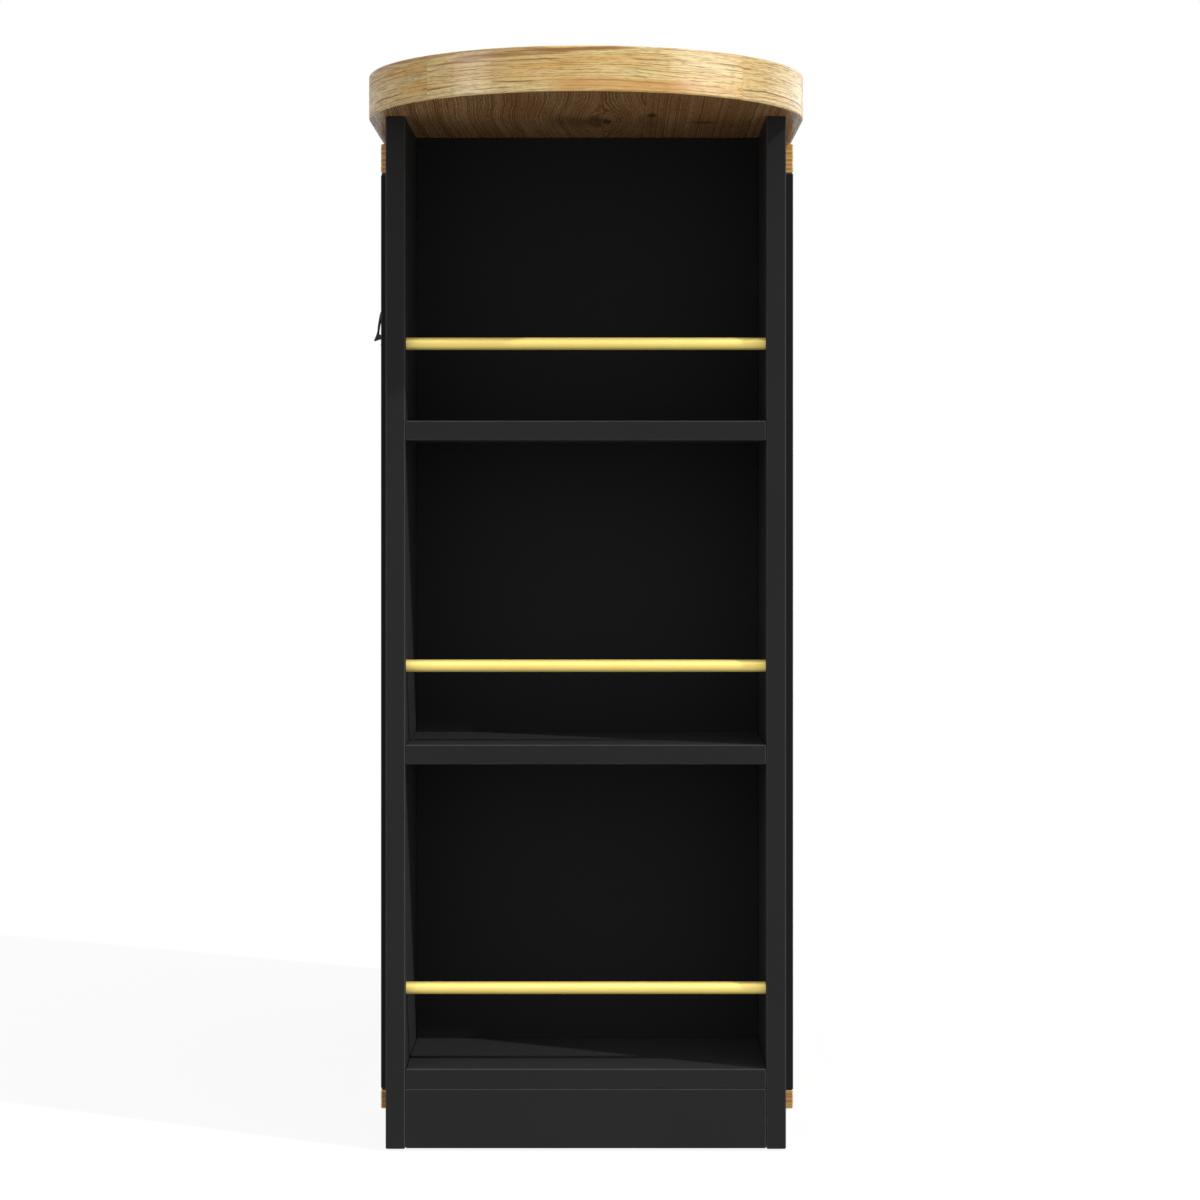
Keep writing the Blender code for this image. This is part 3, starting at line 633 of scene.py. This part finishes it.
def top_mesh(low, high):
    """The slab: rings of the outline, drawn in and raised along an eased edge profile, between two
    faces that close on the middle line. Edging faces carry their way round and height as UV."""
    spots, facing, way = top_outline(low, high)
    thick = high.z - low.z
    turn = np.linspace(0.0, math.pi / 2, 6)
    inset = TOP_EASE * (1.0 - np.sin(turn))
    rise = TOP_EASE * (1.0 - np.cos(turn))
    inset = np.concatenate([[1.2 * TOP_EASE], inset, [0.0, 0.0], inset[::-1], [1.2 * TOP_EASE]])
    rise = np.concatenate([[0.0], rise, [2 * TOP_EASE, thick - 2 * TOP_EASE], thick - rise[::-1], [thick]])
    rings = spots[:, None] - facing[:, None] * inset[None, :, None]
    points = np.concatenate([rings, np.broadcast_to(low.z + rise, rings.shape[:2])[..., None]], -1)
    spine_y = np.clip(spots[:, 1], low.y + TOP_ROUND, high.y - TOP_ROUND)
    spine = np.stack([np.full_like(spine_y, (low.x + high.x) / 2), spine_y], -1)
    under = np.concatenate([spine, np.full_like(spine[:, :1], low.z)], -1)[:, None]
    over = np.concatenate([spine, np.full_like(spine[:, :1], high.z)], -1)[:, None]
    points = np.concatenate([under, points, over], 1)
    rows, columns = points.shape[:2]
    i, j = np.meshgrid(np.arange(rows), np.arange(columns - 1), indexing="ij")
    k = (i + 1) % rows
    faces = np.stack([i * columns + j, k * columns + j, k * columns + j + 1, i * columns + j + 1], -1)
    mesh = bpy.data.meshes.new("worktop_slab")
    mesh.from_pydata(points.reshape(-1, 3).tolist(), [], faces.reshape(-1, 4).tolist())
    edging = (j >= 2) & (j <= columns - 4)
    mesh.polygons.foreach_set("material_index", edging.astype(np.int32).ravel())
    height = np.concatenate([[0.0], rise, [thick]])
    u = np.stack([way[i], way[i + 1], way[i + 1], way[i]], -1)
    v = np.stack([height[j], height[j], height[j + 1], height[j + 1]], -1)
    band = mesh.uv_layers.new(name="edging")
    band.data.foreach_set("uv", np.stack([u, v], -1).astype(np.float32).ravel())
    close_up(mesh, 35.0)
    return mesh


def multiply_tone(share, colour, tone):
    """Darken a colour by multiplying it by a tone where the share is high."""
    return colour.node("Mix", {"data_type": "RGBA", "blend_type": "MULTIPLY"},
                       {0: share, 6: colour, 7: (*tone, 1.0)}, outlet=2)


def joint(off, share):
    """The fine dark line of a joint, of a share, where the way off it is small."""
    return spread(abs(off), SEAM_CORE, SEAM_RIM, share, 0.0)


oak_edging, shader, place = start_finish("oak_edging", LACQUER)
along = place.node("UVMap", {"uv_map": "edging"}, {})
way = along.node("SeparateXYZ", {}, {0: along}, outlet="X")
rise = along.node("SeparateXYZ", {}, {0: along}, outlet="Y")
off_middle = abs(way) - EDGING_JOINT
beyond = off_middle > 0.0
side = way.sum("SIGN", way)
sway = speckle(along, (6.0, 20.0, 1.0)) - 0.5
tracked = way.node("CombineXYZ", {}, {
    "X": way, "Y": rise + sway * 0.008, "Z": beyond * (side + 3.0) * 0.37})
colour, streak, lines = oak_colour(tracked, rise)
ragged = spread(streak, 0.30, 0.55, 0.35, 1.0)
for start, stop, start_rise, stop_rise, half, share, flame in FLAMES:
    slope = (stop_rise - start_rise) / (stop - start)
    off = abs(rise + sway * 0.006 - way * slope - (start_rise - slope * start))
    reach = rising(way, start, start + FLAME_FADE) * falling(way, stop - FLAME_FADE, stop)
    colour = blend(spread(off, half * 0.4, half * 1.6, share, 0.0) * reach * ragged, colour, flame)
seam = joint(off_middle, 0.16)
left, right = SHOULDER_SHADE_SHARES
# The edging's shoulders are darkened, the left far more: painted shade on the side away from the key lamp.
shoulder_shade = beyond * (side * ((left - right) / 2) + (left + right) / 2)
multiply_tone(shoulder_shade, blend(seam, colour, OAK_BROWN), SHOULDER_SHADE_TONE).into(shader, "Base Color")
oak_shine(shader, streak, lines + seam)

oak_face, shader, place = start_finish("oak_face", LACQUER)
x = place.node("SeparateXYZ", {}, {0: place}, outlet="X")
y = place.node("SeparateXYZ", {}, {0: place}, outlet="Y")
second = x > PLANK_JOINT
wander = speckle(place, (14.0, 3.0, 1.0)) - 0.5
shake = speckle(place, (230.0, 26.0, 1.0), 3.0, 0.6) - 0.5
off_x, off_y = x - EYE[0], y - EYE[1]
swell = off_x.sum("TANH", off_x * (1.0 / EYE_CORE)) * EYE_BULGE
fade = abs(off_x) * (-1.0 / EYE_REACH) - off_y * off_y * (1.0 / EYE_LENGTH ** 2)
around = off_x - swell * fade.sum("EXPONENT", fade)
ring = around * (1.0 - second) + (x * 1.4 + 0.3) * second + wander * 0.006 + shake * 0.0044
phase = fraction(ring * FACE_RINGS + uneven(ring, 90.0) * 3.0)
late = rising(phase, 0.10, 0.34) * falling(phase, 0.90, 1.0)
late = late * spread(uneven(ring, 120.0), 0.3, 0.65, 0.45, 1.0)
zone = speckle(place, (30.0, 4.0, 1.0), 3.0, 0.55)
dash = rising(speckle(place, (560.0, 44.0, 1.0)), 0.52, 0.66)
base = blend(rising(zone + second * 0.06, 0.32, 0.72), FACE_TAN, FACE_RUST)
base = blend(late * 0.88, base, FACE_BROWN)
base = blend(dash * 0.58, base, OAK_BROWN)
facing = own_facing(place)
above = facing.node("SeparateXYZ", {}, {0: facing}, outlet="Z") > 0.0
for knot_x, knot_y, half_x, half_y, share in KNOTS:
    off = place.node("VectorMath", {"operation": "SUBTRACT"}, {0: place, 1: (knot_x, knot_y, 0.0)})
    off = off.node("VectorMath", {"operation": "MULTIPLY"}, {0: off, 1: (1.0 / half_x, 1.0 / half_y, 0.0)})
    off = off.node("VectorMath", {"operation": "LENGTH"}, {0: off}, outlet="Value")
    smudge = spread(off + (zone - 0.5) * 2.0 + wander * 3.0, 0.3, 1.5, share, 0.0)
    base = blend(smudge * (1.0 - above * 0.5), base, KNOT)
seam = joint(x - PLANK_JOINT, 0.5)
# The underside is tinted darker and redder than the top face: painted shade under the top.
multiply_tone(1.0 - above, blend(seam, base, OAK_BROWN), UNDERSIDE_SHADE_TONE).into(shader, "Base Color")
oak_shine(shader, zone, late * 0.5 + dash + seam, COAT - above * 0.35)
add_piece("worktop_slab", top_mesh(low, high), [oak_face, oak_edging], "carcass", ["worktop"])


# Studio: a pale floor that keeps a faint shadow, white surroundings as soft light, a key lamp from the
# upper right, and the camera square to the rack's end, a little above half the table's height.
FLOOR_HALF = 8.0
FLOOR_PLAIN = (0.60, 0.60, 0.60, 1.0)
FLOOR_SHADE = (0.13, 0.13, 0.13, 1.0)
FLOOR_GLOW = 0.90
GROUND_LIGHT, SKY_LIGHT, FRONT_LIGHT = 0.30, 0.33, 0.60
FRONT = (0.0, -0.92, 0.39)
HORIZON = 0.05
KEY_LIGHT, KEY_SPREAD = 1.92, 1.5
KEY_FROM = (0.663, -0.362, 0.656)
CARD_DISTANCE, CARD_CENTRE = 4.0, Vector((0.0, 0.0, 1.0))


def in_view(tree):
    """1 on the rays that show the surroundings, to the camera, in a reflection or through glass."""
    rays = tree.nodes.new("ShaderNodeLightPath").outputs
    kinds = ("Is Camera Ray", "Is Glossy Ray", "Is Transmission Ray")
    direct, mirrored, through = (Wire(rays[kind]) for kind in kinds)
    return direct + mirrored + through > 0.5


side = np.linspace(-FLOOR_HALF, FLOOR_HALF, 3)
grid = np.stack([*np.meshgrid(side, side, indexing="ij"), np.zeros((3, 3))], -1)
floor = bpy.data.objects.new("floor", skin("floor", grid, False, False))
bpy.context.scene.collection.objects.link(floor)
floor.visible_diffuse = False
pale, shader, place = start_finish("pale_floor", {
    "Base Color": FLOOR_PLAIN, "Roughness": 0.9, "Specular IOR Level": 0.0})
white = place.node("Emission", {}, {"Color": (1, 1, 1, 1), "Strength": FLOOR_GLOW})
soft = place.node("BsdfDiffuse", {}, {"Color": FLOOR_SHADE})
bright = place.node("AddShader", {}, {0: white, 1: soft})
mixed = place.node("MixShader", {}, {0: in_view(pale.node_tree), 1: Wire(shader.outputs[0]), 2: bright})
mixed.into(pale.node_tree.nodes["Material Output"], "Surface")
floor.data.materials.append(pale)

world = bpy.data.worlds.new("studio_white")
world.use_nodes = True
bpy.context.scene.world = world
backdrop = world.node_tree.nodes["Background"]
backdrop.inputs["Color"].default_value = (1, 1, 1, 1)
shown = in_view(world.node_tree)
sky = Wire(world.node_tree.nodes.new("ShaderNodeTexCoord").outputs["Generated"])
up = spread(sky.node("SeparateXYZ", {}, {0: sky}, outlet="Z"), -HORIZON, HORIZON, GROUND_LIGHT, SKY_LIGHT)
ahead = sky.node("VectorMath", {"operation": "DOT_PRODUCT"}, {0: sky, 1: FRONT}, outlet="Value")
ahead = ahead.sum("MAXIMUM", ahead, 0.0) * FRONT_LIGHT
(shown + (1.0 - shown) * (up + ahead)).into(backdrop, "Strength")

key = bpy.data.objects.new("key_lamp", bpy.data.lights.new("key_lamp", "SUN"))
key.data.energy = KEY_LIGHT
key.data.angle = math.radians(KEY_SPREAD)
key.rotation_euler = Vector(KEY_FROM).to_track_quat("Z", "Y").to_euler()
bpy.context.scene.collection.objects.link(key)

# Cards that show only as sheen on what is glossy: bearing and elevation in degrees, size and brightness.
for name, turn, up, wide, tall, bright in (
        ("left_card", -56.0, 9.0, 1.2, 1.2, 7.0),
        ("right_card", 63.0, 9.0, 2.6, 1.2, 7.4),
        ("right_rim_card", 132.0, 9.0, 3.6, 1.2, 1.9),
        ("high_card", 0.0, 53.0, 6.0, 3.1, 2.1)):
    card = bpy.data.objects.new(name, bpy.data.lights.new(name, "AREA"))
    card.data.shape = "RECTANGLE"
    card.data.size, card.data.size_y = wide, tall
    card.data.energy = bright * math.pi * wide * tall
    turn, up = math.radians(turn), math.radians(up)
    out = Vector((math.sin(turn) * math.cos(up), -math.cos(turn) * math.cos(up), math.sin(up)))
    card.location = out * CARD_DISTANCE + CARD_CENTRE
    card.rotation_euler = out.to_track_quat("Z", "Y").to_euler()
    card.visible_camera = False
    card.visible_diffuse = False
    bpy.context.scene.collection.objects.link(card)

camera = bpy.data.objects.new("camera", bpy.data.cameras.new("camera"))
camera.data.lens = 86.11
camera.data.sensor_width = 36.0
camera.data.shift_x = -0.0051
camera.data.shift_y = -0.0792
camera.location = (0.0343, -3.1260, 0.6293)
camera.rotation_euler = (math.radians(90), 0, 0)
bpy.context.scene.collection.objects.link(camera)
bpy.context.scene.camera = camera
bpy.context.scene.view_settings.view_transform = "Standard"
